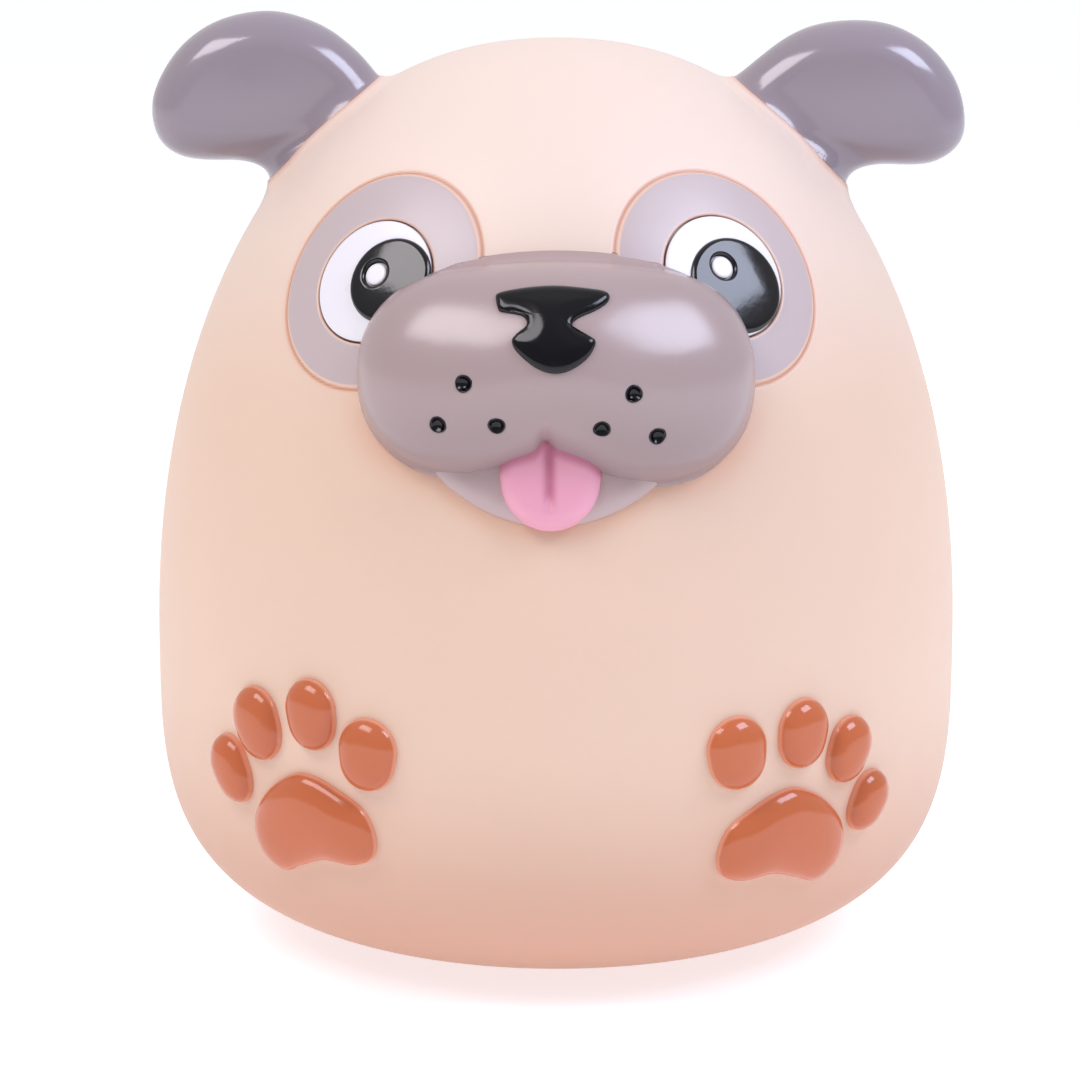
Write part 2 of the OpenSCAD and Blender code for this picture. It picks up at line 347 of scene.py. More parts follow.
class Site:
    """A place on the body's skin with its own flat axes u (to the right) and v (up).

    Azimuth 0 is the middle of the front, 90 is +X.
    """

    def __init__(self, azimuth, height):
        a = math.radians(azimuth)
        r = float(radius_at(height))
        self.c = np.array([r * math.sin(a), -r * math.cos(a), height])
        self.n = body_normal(self.c)
        self.u = np.cross([0, 0, 1.0], self.n)
        self.u /= np.linalg.norm(self.u)
        self.v = np.cross(self.n, self.u)

    def flat(self, p):
        q = p - self.c
        return q @ self.u, q @ self.v, q @ self.n

    def on_skin(self, u, v):
        """Points on the body straight under flat (u, v), and their normals."""
        base = self.c + u[..., None] * self.u + v[..., None] * self.v
        lo, hi = np.full(u.shape, -25.0), np.full(u.shape, 4.0)
        for _ in range(40):
            mid = (lo + hi) / 2
            out = body_field(base + mid[..., None] * self.n) > 0
            hi = np.where(out, mid, hi)
            lo = np.where(out, lo, mid)
        p = base + ((lo + hi) / 2)[..., None] * self.n
        return p, body_normal(p)


def dome(d, height, edge, power=2.0):
    """Height above the skin at a distance d inside an outline, rounded over the edge."""
    t = np.clip(d / edge, 0, 1)
    return height * (1 - (1 - t) ** power) ** (1 / power)


def bead(height, edge, base):
    """Heights for inlay: a dome that starts at base above the surface."""
    return lambda d, *_: dome(d, height, edge) + base


def inlay(name, surface, shape, centre, height, cols=96, rows=26, depth=0.8, inner=None,
          inner_height=None, even=0):
    """A raised piece on a surface: top from height(d, u, v), a skirt, and an underside.

    surface(u, v) gives points and normals. inner is the outline of a hole round centre.
    even is how many times the heights are averaged, so that no ridge shows along the middle.
    """
    ang = np.arange(cols) / cols * TAU
    outer = edge_radius(shape, centre[0], centre[1], ang)
    hole = edge_radius(inner, centre[0], centre[1], ang) if inner else np.zeros(cols)
    # Rows crowd towards the edges, where the piece is rounded
    t = np.linspace(0, 1, rows)
    s = 0.5 - 0.5 * np.cos(t * math.pi) if inner else (1 - (1 - t) ** 1.9)[1:]
    verts, inset = [], []

    def spread(k):
        """Flat places k of the way from the hole to the outline."""
        rr = hole + (outer - hole) * k
        return centre[0] + rr * np.cos(ang), centre[1] + rr * np.sin(ang)

    def ring(k, lift):
        """A row of points, and how far in from the piece's edges they are."""
        u, v = spread(k)
        p, n = surface(u, v)
        d = np.clip(-shape(u, v), 0, None)
        di = np.clip(inner(u, v), 0, None) if inner else np.full(cols, 99.0)
        h = height(d, u, v) if lift is None else np.zeros(cols) + lift
        if inner and lift is None:
            h = np.minimum(h, inner_height(di, u, v))
        return p + n * h[:, None], np.minimum(d, di)

    def under(k):
        verts.append(ring(k, -depth)[0])
        inset.append(np.zeros(cols))

    lifts = [None] * len(s)
    if even:
        u, v = spread(s[:, None])
        lifts = height(np.clip(-shape(u, v), 0, None), u, v)
        keep = smooth_step(-s, -0.95, -0.8)[:, None]
        for _ in range(even):
            sideways = (np.roll(lifts, 1, 1) + np.roll(lifts, -1, 1)) / 2
            padded = np.concatenate([lifts[:1] * 0 + lifts[0].mean(), lifts, lifts[-1:]])
            mean = (sideways + (padded[:-2] + padded[2:]) / 2) / 2
            lifts = lifts + 0.5 * keep * (mean - lifts)
    for k, lift in zip(s, lifts):
        p, d = ring(k, lift)
        verts.append(p)
        inset.append(d)
    for k in (1.0, 0.0) if inner else (1.0, 0.66, 0.33):
        under(k)
    total = len(verts)
    faces = grid_faces(total, cols)
    if inner:
        faces += band((total - 1) * cols, 0, cols)
    else:
        cu, cv = np.array([centre[0]]), np.array([centre[1]])
        p, n = surface(cu, cv)
        d = np.clip(-shape(cu, cv), 0, None)
        verts += [p + n * (lifts[0].mean() if even else height(d, cu, cv)[:, None]), p - n * depth]
        inset += [d, d * 0]
        crest, floor = total * cols, total * cols + 1
        faces += [f[::-1] for f in fan(crest, 0, cols)] + fan(floor, (total - 1) * cols, cols)
    faces = [f[::-1] for f in faces]
    return make_mesh(name, np.concatenate(verts), faces, {"inset": np.concatenate(inset)})


# ---- materials ------------------------------------------------------------------------

def srgb(r, g, b):
    """Linear colour from 0 to 255 screen values."""
    def lin(c):
        c /= 255
        return c / 12.92 if c <= 0.04045 else ((c + 0.055) / 1.055) ** 2.4
    return (lin(r), lin(g), lin(b), 1.0)


def material(name, colour, rough, vary=0.03, rough_vary=0.05, sss=0.0, bump=0.02,
             bump_size=900.0, spec=0.5, edge=None, edge_width=0.5, tints_and_painted_light=(), orange_peel=0.0):
    """Moulded or painted vinyl: mottled colour, uneven gloss and a fine surface grain.

    edge is a colour that shows within edge_width (in millimetres) of the piece's outline.
    The list of (colour, attribute) pairs gives tints read from mesh attributes: sprayed paint, and
    painted shade and sheen where a colour darkens low down or lightens on top.
    orange_peel is the strength of the slow waves in a sprayed or moulded surface.
    """
    mat = bpy.data.materials.new(name)
    mat.use_nodes = True
    nodes, links = mat.node_tree.nodes, mat.node_tree.links
    shader = nodes["Principled BSDF"]
    shader.inputs["Specular IOR Level"].default_value = spec
    shader.inputs["Subsurface Weight"].default_value = sss
    shader.inputs["Subsurface Radius"].default_value = (0.004, 0.0022, 0.0015)
    shader.inputs["Subsurface Scale"].default_value = 1.0
    coords = nodes.new("ShaderNodeTexCoord")

    def noise(scale, detail=3.0):
        n = nodes.new("ShaderNodeTexNoise")
        n.inputs["Scale"].default_value = scale
        n.inputs["Detail"].default_value = detail
        links.new(coords.outputs["Object"], n.inputs["Vector"])
        return n.outputs["Fac"]

    def remap(value, a, b, low, high):
        m = nodes.new("ShaderNodeMapRange")
        for key, number in (("From Min", a), ("From Max", b), ("To Min", low), ("To Max", high)):
            m.inputs[key].default_value = number
        links.new(value, m.inputs["Value"])
        return m.outputs["Result"]

    def attribute(key):
        at = nodes.new("ShaderNodeAttribute")
        at.attribute_name = key
        return at.outputs["Fac"]

    def bumped(height, strength, distance, under=None):
        b = nodes.new("ShaderNodeBump")
        b.inputs["Strength"].default_value = strength
        b.inputs["Distance"].default_value = distance
        links.new(height, b.inputs["Height"])
        if under:
            links.new(under, b.inputs["Normal"])
        return b.outputs["Normal"]

    def mix(a, b, fac):
        m = nodes.new("ShaderNodeMix")
        m.data_type = "RGBA"
        for sock, val in ((m.inputs[6], a), (m.inputs[7], b), (m.inputs[0], fac)):
            if isinstance(val, (tuple, float)):
                sock.default_value = val
            else:
                links.new(val, sock)
        return m.outputs[2]

    dark = tuple(c * (1 - 1.6 * vary) for c in colour[:3]) + (1.0,)
    light = tuple(min(1.0, c * (1 + vary)) for c in colour[:3]) + (1.0,)
    col = mix(dark, light, remap(noise(38.0, 4.0), 0.1, 0.9, 0.0, 1.0))
    for tint, key in tints_and_painted_light:
        col = mix(col, tint, attribute(key))
    if edge:
        col = mix(col, edge, remap(attribute("inset"), edge_width * 0.35, edge_width, 1.0, 0.0))
    links.new(col, shader.inputs["Base Color"])
    gloss = remap(noise(120.0, 2.0), 0.1, 0.9, rough - rough_vary, rough + rough_vary)
    links.new(gloss, shader.inputs["Roughness"])
    normal = bumped(noise(bump_size, 2.0), bump, 0.0004)
    if orange_peel:
        normal = bumped(noise(70.0, 1.0), orange_peel, 0.002, normal)
    links.new(normal, shader.inputs["Normal"])
    return mat


# The cream vinyl's tints: darker, deeper cream low down is painted shade, lighter cream on top is
# painted sheen, and the third is sprayed paint round the pieces with painted shade in the engraved
# eye grooves.
vinyl = material(
    "vinyl_cream", srgb(233, 201, 179), 0.5, vary=0.012, sss=0.1, bump=0.03, bump_size=1400.0,
    spec=0.8, orange_peel=0.02,
    tints_and_painted_light=((srgb(207, 155, 129), "low"), (srgb(239, 217, 204), "high"),
          (srgb(210, 138, 104), "overspray_and_shade")))
# The ear grey darkens towards its lower edge: painted shade; its warm tint at the root is sprayed
# paint.
ear_mat = material(
    "vinyl_ear_grey", srgb(150, 138, 148), 0.17, vary=0.02, bump=0.02, spec=0.75, orange_peel=0.02,
    tints_and_painted_light=((srgb(136, 124, 134), "low"), (srgb(186, 140, 124), "overspray_and_shade")))
# The muzzle grey darkens towards the jowls: painted shade; its warm tint where it meets the skin is
# sprayed paint.
muzzle_mat = material(
    "paint_muzzle_grey", srgb(173, 152, 152), 0.24, vary=0.02, bump=0.03, spec=0.62,
    orange_peel=0.02, tints_and_painted_light=((srgb(157, 136, 137), "low"), (srgb(190, 158, 150), "overspray_and_shade")))
# The chin's grey is a lighter copy of the muzzle grey: painted light that offsets the shade under
# the muzzle.
chin_lightened_mat = material("paint_chin_grey_lightened", srgb(194, 171, 171), 0.3, vary=0.02, bump=0.03)
patch_mat = material(
    "paint_patch_grey", srgb(198, 181, 183), 0.34, vary=0.02, bump=0.04, spec=0.62,
    edge=srgb(232, 196, 178), edge_width=0.5)
white_mat = material(
    "paint_eye_white", srgb(240, 237, 244), 0.3, vary=0.008, bump=0.03,
    edge=srgb(150, 118, 116), edge_width=0.14)
pupil_mat = material(
    "gloss_pupil_black", srgb(11, 9, 15), 0.1, vary=0.1, rough_vary=0.03, spec=0.58)
nose_mat = material(
    "gloss_nose_black", srgb(9, 7, 14), 0.14, vary=0.1, rough_vary=0.03, bump=0.03, spec=0.4)
# The tongue's darker pink tint is painted shade in its groove and under the muzzle.
tongue_mat = material(
    "paint_tongue_pink", srgb(235, 165, 188), 0.34, sss=0.05, bump=0.03,
    tints_and_painted_light=((srgb(186, 92, 124), "overspray_and_shade"),))
pad_mat = material(
    "paint_pad_brown", srgb(200, 108, 69), 0.12, vary=0.05, rough_vary=0.04, bump=0.03,
    edge=srgb(226, 152, 122), edge_width=0.35)
plug_mat = material(
    "vinyl_stopper", srgb(224, 214, 204), 0.4, vary=0.02, sss=0.2, bump=0.05, spec=0.4)


def place(piece, mat, node, body="bank"):
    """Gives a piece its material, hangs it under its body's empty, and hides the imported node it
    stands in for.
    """
    piece.data.materials.clear()
    piece.data.materials.append(mat)
    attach(piece, body)
    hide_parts(node)


# ---- where everything sits on the skin ------------------------------------------------

def egg(cu, cv, r, points, squash, lean):
    """Nearly round outline: points and squash make it a little longer along lean degrees."""
    lean = math.radians(lean)

    def field(u, v):
        th = np.arctan2(v - cv, u - cu) - lean
        return np.hypot(u - cu, v - cv) - (r + points * np.cos(th) + squash * np.cos(2 * th))
    return field


# Each eye: its place, then (u, v, radius) of its white and pupil and (u, v) of its glint
EYES = {
    "left": dict(site=Site(-33.3, 119.8), patch=egg(0.6, 0.5, 18.3, 0.3, 0.45, 80),
                 white=(0.6, 0.1, 10.6), pupil=(4.05, 0.25, 7.35), glint=(1.3, 0.95)),
    "right": dict(site=Site(30.3, 120.5), patch=egg(-0.7, 0.4, 18.2, 0.3, 0.45, 100),
                  white=(-0.5, 0.3, 10.65), pupil=(0.85, -1.55, 8.25), glint=(-1.1, 1.55)),
}

MAIN_PAD = outline([
    (-2.4, 8.9), (-7.6, 6.0), (-11.6, 1.4), (-12.6, -2.8), (-11.2, -6.9), (-7.2, -9.2),
    (-3.4, -7.6), (2.0, -5.6), (7.8, -5.7), (11.6, -3.8), (12.5, 0.0), (10.6, 4.4),
    (6.0, 7.2), (1.8, 8.8)])
# Each toe: azimuth, height, length, width, lean in degrees
PAWS = {
    "left": dict(pad=(Site(-35.6, 30.8), MAIN_PAD),
                 toes=[(-50.2, 37.9, 12.4, 8.9, 30), (-44.4, 46.9, 13.0, 9.9, 23),
                       (-34.7, 50.1, 12.4, 9.4, 8), (-26.0, 44.7, 12.4, 10.0, -4)]),
    "right": dict(pad=(Site(32.6, 28.9), turned(4, flipped(MAIN_PAD))),
                  toes=[(24.5, 45.2, 12.5, 10.2, 6), (34.7, 47.0, 12.0, 9.4, -8),
                        (42.9, 42.8, 11.9, 8.9, -24), (47.5, 33.1, 11.0, 8.3, -30)]),
}


def toe_shape(length, width, lean):
    """Egg-shaped toe, slightly narrower below."""
    r = width / 2
    half = length / 2 - r
    return turned(lean, joined(2.0, capsule(0, half + 0.15, 0, -half, r - 0.05, r - 0.75),
                               capsule(0, half * 0.3, 0, -half * 0.2, r)))


# Each toe's name, place, outline and the width of its rounded edge
TOES = [(f"paw_{side}_toe_{i}", Site(azimuth, z - 0.4), toe_shape(length, width - 0.35, lean),
         width / 2 - 0.3)
        for side, paw in PAWS.items()
        for i, (azimuth, z, length, width, lean) in enumerate(paw["toes"], 1)]


# ---- muzzle and ears as smooth fields -------------------------------------------------

def pillow(p, centre, size, yaw, pitch, plan, depth):
    """Rounded pad: half sizes (across, out, up), turned by yaw and leant back by pitch.

    plan rounds its outline seen from the front, depth how flat its front is.
    """
    a, b = math.radians(yaw), math.radians(pitch)
    q = p - np.array(centre, float)
    out = q[..., 0] * math.sin(a) - q[..., 1] * math.cos(a)
    u = np.abs(q[..., 0] * math.cos(a) + q[..., 1] * math.sin(a)) / size[0]
    f = np.abs(out * math.cos(b) + q[..., 2] * math.sin(b)) / size[1]
    v = np.abs(q[..., 2] * math.cos(b) - out * math.sin(b)) / size[2]
    w = np.maximum((u ** plan + v ** plan) ** (1 / plan), 1e-6)
    k = np.maximum((w ** depth + f ** depth) ** (1 / depth), 1e-6)
    rim = ((u / w) ** (plan - 1) / size[0]) ** 2 + ((v / w) ** (plan - 1) / size[2]) ** 2
    slope = np.sqrt((w / k) ** (2 * depth - 2) * rim + ((f / k) ** (depth - 1) / size[1]) ** 2)
    return (k - 1) / np.maximum(slope, 1e-3)


# Where the split of the upper lip comes to its point
LIP_X, LIP_Z = -1.9, 94.6


def muzzle_bulge(p):
    """The muzzle alone: flat-fronted cheeks falling back from the middle, over two jowls."""
    # Below the eyes it runs straight back from its widest part, so it never hangs over the skin
    back = -54 + 14 * smooth_step(p[..., 2], 103, 114)
    p = np.stack([p[..., 0], np.minimum(p[..., 1], back), p[..., 2]], -1)
    cheeks = smooth_min(
        pillow(p, (-12.0, -55.8, 107.3), (18.3, 16.2, 14.0), -24, 25, 2.1, 2.8),
        pillow(p, (11.7, -55.8, 107.2), (18.5, 16.2, 14.1), 24, 26, 2.15, 2.8), 14)
    bridge = pillow(p, (0, -49.2, 106.9), (24, 20.8, 13.8), 0, 26, 2.1, 2.4)
    lip = pillow(p, (0.2, -56.8, 105.4), (15, 16.4, 8.6), 0, 6, 2.0, 2.4)
    jowls = smooth_min(
        pillow(p, (-13.4, -55.2, 103.3), (17.3, 16.6, 14.4), -20, 8, 2.1, 2.6),
        pillow(p, (13.0, -55.2, 101.9), (17.1, 16.6, 14.4), 20, 8, 2.1, 2.6), 1.2)
    d = smooth_min(smooth_min(smooth_min(cheeks, bridge, 5), lip, 7), jowls, 5)
    # The split of the upper lip: two curves that meet in a point, and a crease above it
    x = np.abs(p[..., 0] - LIP_X)
    steep = 0.5 + 0.35 * np.exp(-x / 2) + 0.15 * (p[..., 0] > LIP_X)
    edge = LIP_Z - x * steep + 0.006 * x ** 2
    split = 0.85 * (p[..., 2] - edge) + 0.7 * np.clip(x - 11, 0, None)
    d = -smooth_min(-d, split, 3.0)
    crease = np.exp(-(x / 1.1) ** 2) * smooth_step(-p[..., 2], -101.5, -96.0)
    return d + 1.1 * crease * smooth_step(-p[..., 1], 64, 68)


def muzzle_field(p):
    """Muzzle flowing into the head with a small fillet, cut off under the skin."""
    skin = body_field(p)
    bulge = muzzle_bulge(p)
    d = smooth_min(bulge, skin + 0.28, 1.7 + 1.7 * smooth_step(p[..., 2], 90, 100))
    return np.maximum(np.maximum(d, -(skin + 1.2)), bulge - 2.8)


EAR = {
    -1: outline([
        (-55.5, 134.9), (-64.4, 135.5), (-68.9, 139.2), (-69.5, 146.0), (-65.4, 153.6),
        (-58.8, 158.6), (-50.5, 160.5), (-43.4, 159.3), (-36.9, 155.8), (-31.6, 149.6),
        (-33.0, 141.0), (-44.0, 135.8)], margin=14),
    1: outline([
        (56.5, 134.2), (64.6, 134.4), (69.4, 137.4), (70.6, 142.0), (68.9, 148.6), (64.3, 154.5),
        (57.8, 158.1), (50.4, 158.9), (43.0, 157.6), (36.6, 153.8), (31.4, 148.2), (33.0, 140.5),
        (44.0, 134.9)], margin=14),
}
EAR = {side: sampled(shape, *((-80, -20) if side < 0 else (20, 80)), 122, 172)
       for side, shape in EAR.items()}
# Width of an ear's rounded rim, half its thickness, and how far the skin climbs its root
EAR_EDGE, EAR_HALF, CLIMB = 6.0, 7.3, 1.3


def ear_flap_field(p, side):
    """Floppy ear: a fat flap with well rounded edges, fullest in the middle."""
    d = -EAR[side](p[..., 0], p[..., 2])
    belly = np.exp(-((p[..., 0] - side * 52) ** 2 + (p[..., 2] - 147) ** 2) / 13 ** 2)
    half = EAR_HALF + 0.9 * belly
    edge = np.clip(1 - d / EAR_EDGE, 0, None)
    return (np.sqrt(edge ** 2 + (p[..., 1] / half) ** 2) - 1) * EAR_EDGE


def root_fillet(p):
    """The hollow under the ear is rounder than the one over it."""
    return 5.0 + 4.5 * smooth_step(-p[..., 2], -140, -134)


def ear_field(side):
    """Ear flowing into the head, cut off under the skin."""
    def field(p):
        skin = body_field(p)
        flap = ear_flap_field(p, side)
        d = smooth_min(flap, skin + 0.3, root_fillet(p))
        return np.maximum(np.maximum(d, -(skin + 1.5)), flap - 3.4)
    return field


# ---- body shell -----------------------------------------------------------------------

SLOT = dict(half_x=20.0, y=28.0, half_y=2.5, corner=1.2)


def skin_relief(p):
    """Height and tint of the body's skin: pockets, seams and rims round the pieces on it, with
    painted shade tinting the engraved eye grooves.
    """
    h = np.zeros(len(p))
    overspray_and_shade = np.zeros(len(p))
    for eye in EYES.values():
        u, v, w = eye["site"].flat(p)
        near = (np.hypot(u, v) < 24) & (w > -14)
        d = eye["patch"](u, v)
        # Engraved line just outside the patch, and a pocket under it
        groove = np.exp(-((d - 0.42) / 0.26) ** 2)
        h -= near * (0.34 * groove + 0.9 * smooth_step(-d, 0.5, 1.0))
        # The engraved line is also tinted darker orange: painted shade in the groove
        overspray_and_shade = np.maximum(overspray_and_shade, near * 0.95 * np.exp(-((d - 0.42) / 0.33) ** 2))
        overspray_and_shade = np.maximum(overspray_and_shade, near * 0.16 * np.exp(-(np.clip(d, 0, None) / 1.1) ** 2))
    pads = [(s, shape) for _, s, shape, _ in TOES] + [paw["pad"] for paw in PAWS.values()]
    for site, shape in pads:
        u, v, w = site.flat(p)
        near = (np.hypot(u, v) < 17) & (w > -8)
        d = shape(u, v)
        # The skin swells a little where it meets the foot of a pad
        h += near * 0.22 * np.exp(-(np.clip(d, 0, None) / 0.55) ** 2) * smooth_step(-d, 1.2, 0.4)
        h -= near * 0.6 * smooth_step(-d, 0.9, 1.4)
        overspray_and_shade = np.maximum(overspray_and_shade, near * 0.30 * np.exp(-(np.clip(d, 0, None) / 0.5) ** 2))
    # Overspray under the chin and below the cheeks
    front = p[:, 1] < -30
    chin = np.abs(chin_shape(p[:, 0], p[:, 2]))
    overspray_and_shade = np.maximum(overspray_and_shade, front * (p[:, 2] < 96) * 0.42 * np.exp(-(chin / 2.2) ** 2))
    cheek = muzzle_bulge(p)
    low = smooth_step(-p[:, 2], -108, -92)
    overspray_and_shade = np.maximum(overspray_and_shade, front * 0.42 * low * np.exp(-(np.clip(cheek, 0, None) / 3.2) ** 2))
    overspray_and_shade = np.maximum(overspray_and_shade, front * 0.10 * np.exp(-(np.clip(cheek, 0, None) / 2.0) ** 2))
    # The skin climbs a little way up the root of each ear
    n = body_normal(p)
    for side in (-1, 1):
        near = (p[:, 0] * side > 22) & (p[:, 2] > 116)
        q, m = p[near], n[near]
        climb = np.zeros(len(q))
        for _ in range(10):
            at = q + m * climb[:, None]
            gap = smooth_min(ear_flap_field(at, side), climb, root_fillet(at))
            climb = np.clip(climb - 0.7 * gap, 0, CLIMB)
        h[near] += climb
        tint = 0.38 * smooth_step(climb, 0.7, CLIMB - 0.05) + 0.08 * smooth_step(climb, 0.01, 0.4)
        overspray_and_shade[near] = np.maximum(overspray_and_shade[near], tint)
    return h, overspray_and_shade


def chin_shape(x, z):
    """Outline of the chin in X and Z."""
    return np.maximum(np.hypot(x + 1.0, z - 109.0) - 26.0, z - 99.0)


def spaced(stops):
    """Values from a list of (end, step) after a start value."""
    out = [stops[0]]
    for end, step in stops[1:]:
        n = max(1, int(round(abs(end - out[-1]) / step)))
        out += list(np.linspace(out[-1], end, n + 1)[1:])
    return np.array(out)


def curve_points(spacing):
    """Height stations along the body's curve from the foot to the crown."""
    t0 = math.asin((WAIST / (WAIST + DIP)) ** (LOW[1] / 2))
    t = np.linspace(0, t0, 3000)[::-1]
    low = np.stack([RADIUS * np.cos(t) ** (2 / LOW[0]),
                    WAIST - (WAIST + DIP) * np.sin(t) ** (2 / LOW[1])], 1)
    t = np.linspace(0, math.pi / 2, 4000)[1:]
    high = np.stack([RADIUS * np.cos(t) ** (2 / UP[0]),
                     WAIST + (HEIGHT - WAIST) * np.sin(t) ** (2 / UP[1])], 1)
    line = np.concatenate([low, high])
    line[0, 1] = 0.0
    length = np.concatenate([[0], np.cumsum(np.hypot(*np.diff(line, axis=0).T))])
    # Walk along the curve with a step that depends on the height
    stations, s = [0.0], 0.0
    while s < length[-1]:
        z = np.interp(s, length, line[:, 1])
        r = np.interp(s, length, line[:, 0])
        s += spacing(z, r)
        stations.append(min(s, length[-1]))
    if stations[-1] - stations[-2] < 0.3:
        stations.pop(-2)
    return np.stack([np.interp(stations, length, line[:, k]) for k in (0, 1)], 1)


def build_shell():
    """The hollow body: the skin with its relief, the foot, the base hole and the inner wall."""
    def spacing(z, r):
        if 17 < z < 60 or 97 < z < 142.5:
            return 0.36
        if z >= 142.5 and r > 18:
            return 0.5
        return 0.7 if z < 6 else 1.1

    azimuth = np.radians(spaced([
        -180, (-145, 1.0), (-110, 1.8), (-70, 0.6), (-59, 1.2), (55, 0.30), (70, 1.2), (110, 0.6),
        (145, 1.8), (180, 1.0)])[:-1])
    cols = len(azimuth)
    ca, sa = np.sin(azimuth), -np.cos(azimuth)

    def turn(line):
        """Rings of points from a line of (radius, height)."""
        r, z = line.T
        rings = [np.outer(r, ca), np.outer(r, sa), np.outer(z, np.ones(cols))]
        return np.stack(rings, -1).reshape(-1, 3)

    line = curve_points(spacing)[:-1]
    line = line[line[:, 0] > 0.6]
    p = turn(line)
    n = body_normal(p)
    h, overspray_and_shade = skin_relief(p)
    # Softened lips of the coin slot
    dx = np.abs(p[:, 0]) - SLOT["half_x"]
    dy = np.abs(p[:, 1] - SLOT["y"]) - SLOT["half_y"]
    gap = np.where((dx > 0) & (dy > 0), np.hypot(dx, dy), np.maximum(dx, dy))
    lip = np.clip(1 - gap / 1.1, 0, 1)
    h -= (p[:, 2] > 130) * 0.75 * lip ** 2
    p = p + n * h[:, None]
    p[:, 2] = np.maximum(p[:, 2], 0.0)
    # Foot, recess, bore and the inside of the wall, from the foot inwards and up
    foot_r = line[0, 0]
    prof = rounded_profile([
        (foot_r, 0, 0), (foot_r - 1.5, 0, 0), (23.4, 0, 0.9), (22.2, RECESS, 0.7),
        (BORE, RECESS, 0.5), (BORE, SEAT_TOP, 0.5), (26.0, SEAT_TOP, 0.8), (28.0, 3.2, 1.0),
        (33.0, FLOOR_TOP, 0)])[1:]
    share = (1 - np.cos(np.linspace(0, 1, 26) * math.pi)) / 2
    inner_z = FLOOR_TOP + (HEIGHT - WALL - FLOOR_TOP) * share
    inner = np.stack([radius_at(inner_z, -WALL), inner_z], 1)
    prof = np.concatenate([prof, inner[(inner[:, 0] > 1.0) & (inner[:, 1] > 4.0)]])
    # The crown and the inner crown are each closed by a point
    crown = len(p)
    start = crown + 1
    tip = start + len(prof) * cols
    faces = grid_faces(len(line), cols) + fan(crown, crown - cols, cols)
    faces += [f[::-1] for f in grid_faces(len(prof), cols, start=start)]
    faces += band(start, 0, cols)
    faces += [f[::-1] for f in fan(tip, tip - cols, cols)]
    allv = np.concatenate([p, [[0, 0, HEIGHT]], turn(prof), [[0, 0, HEIGHT - WALL]]])
    tint = np.concatenate([overspray_and_shade, np.zeros(len(allv) - len(overspray_and_shade))])
    # Painted shade: the cream grows darker and deeper towards the foot
    low = smooth_step(-allv[:, 2], -50, -3)
    # Painted sheen: the cream grows lighter towards the crown
    high = smooth_step(allv[:, 2], 92, 138)
    return make_mesh("body_shell_skin", allv, faces, {"overspray_and_shade": tint, "low": low, "high": high})


def cut_slot(piece):
    """Cuts the coin slot through the wall with a round-cornered box."""
    hx, hy, y0 = SLOT["half_x"], SLOT["half_y"], SLOT["y"]
    r = SLOT["corner"]
    loop = []
    for cx, cy, a0 in ((hx - r, hy - r, 0), (-hx + r, hy - r, 90),
                       (-hx + r, -hy + r, 180), (hx - r, -hy + r, 270)):
        for a in np.radians(np.linspace(a0, a0 + 90, 7)):
            loop.append((cx + r * math.cos(a), y0 + cy + r * math.sin(a)))
    n = len(loop)
    # The cutter reaches from well inside the bank to well above it
    verts = [(x, y, z) for z in (125.0, 170.0) for x, y in loop]
    faces = [(i, (i + 1) % n, n + (i + 1) % n, n + i) for i in range(n)]
    faces += [tuple(range(n))[::-1], tuple(range(n, 2 * n))]
    tool = make_mesh("slot_tool", verts, faces, smooth=False)
    mod = piece.modifiers.new("slot", "BOOLEAN")
    mod.operation = "DIFFERENCE"
    mod.solver = "EXACT"
    mod.object = tool
    deps = bpy.context.evaluated_depsgraph_get()
    mesh = bpy.data.meshes.new_from_object(piece.evaluated_get(deps))
    piece.modifiers.clear()
    old = piece.data
    piece.data = mesh
    bpy.data.meshes.remove(old)
    bpy.data.objects.remove(tool)


shell = build_shell()
cut_slot(shell)
place(shell, vinyl, "body_shell")

# ---- muzzle ---------------------------------------------------------------------------

WHISKERS = {
    "left": [(-14.8, 107.0), (-18.9, 100.1), (-9.6, 100.3)],
    "right": [(11.9, 105.5), (6.9, 99.8), (15.7, 98.4)],
}


def on_muzzle(x, z):
    """Front surface of the muzzle straight behind (x, z), and its normal."""
    lo, hi = np.full(x.shape, -85.0), np.full(x.shape, -58.0)
    for _ in range(36):
        mid = (lo + hi) / 2
        inside = muzzle_bulge(np.stack([x, mid, z], -1)) < 0
        hi = np.where(inside, mid, hi)
        lo = np.where(inside, lo, mid)
    p = np.stack([x, (lo + hi) / 2, z], -1)
    n = gradient(muzzle_bulge, p, 0.1)
    return p, n / np.linalg.norm(n, axis=-1, keepdims=True)


# Each whisker spot's middle on the muzzle, and the way out from it
SPOTS = {side: list(zip(*on_muzzle(*np.array(spots).T))) for side, spots in WHISKERS.items()}


def pit(p):
    """How deep the whisker pits go at a point of the muzzle."""
    deep = np.zeros(len(p))
    for spots in SPOTS.values():
        for c, n in spots:
            q = p - c
            out = q @ n
            r = np.sqrt(np.clip((q * q).sum(1) - out ** 2, 0, None))
            deep = np.maximum(deep, smooth_step(-r, -1.5, -0.5) * (np.abs(out) < 4))
    return deep


NOSE = outline([
    (-9.7, 119.4), (-9.3, 120.5), (-5.2, 121.3), (-0.6, 121.6), (4.0, 121.3), (7.6, 120.7),
    (8.0, 119.5), (6.3, 118.3), (3.2, 117.1), (2.3, 116.2), (3.3, 115.2), (5.5, 114.3),
    (5.8, 113.1), (4.4, 111.0), (1.7, 109.3), (-0.9, 108.9), (-3.7, 109.9), (-6.5, 112.2),
    (-7.2, 113.8), (-6.4, 114.9), (-5.0, 116.0), (-5.1, 117.0), (-6.4, 117.6),
    (-8.9, 117.7)], per=7)


